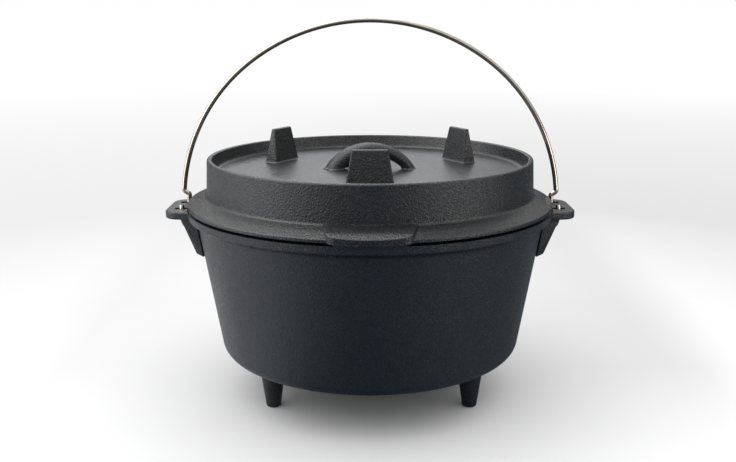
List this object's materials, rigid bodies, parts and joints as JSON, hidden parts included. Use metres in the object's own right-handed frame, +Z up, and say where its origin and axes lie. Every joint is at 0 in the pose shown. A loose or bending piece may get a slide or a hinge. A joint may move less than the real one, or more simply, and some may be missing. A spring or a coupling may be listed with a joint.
{
  "type": "camp dutch oven",
  "caption": "Tapered cast-iron camp oven on short legs, with slotted side ears, a swinging wire bail and a flanged lid with a raised rim for coals, feet and a loop handle.",
  "frame": {"origin": "on the pot's axis, on the ground under its legs", "axes": "+Z up, +X through both ears, -Y towards the lid's tab and the front foot of the lid"},
  "size_m": [0.3674, 0.3324, 0.3421],
  "materials": {
    "pot_iron": "satin seasoned black with a fine sand-cast grain",
    "lid_iron": "satin seasoned black, pebbled on the wall and smoother on the top plate",
    "bail_steel": "bright drawn wire"
  },
  "bodies": {
    "pot": {"pot": "pot_iron"},
    "lid": {"lid": "lid_iron"},
    "bail": {"bail": "bail_steel"}
  },
  "joints": [
    {"name": "bail_swing", "type": "hinge", "parent": "pot", "child": "bail", "pos_m": [0, 0, 0.1709], "axis": [1, 0, 0], "range_deg": [0, 111]},
    {"name": "lid_lift", "type": "slide", "parent": "pot", "child": "lid", "axis": [0, -0.7809, 0.6247], "range_m": [0, 0.42]}
  ]
}
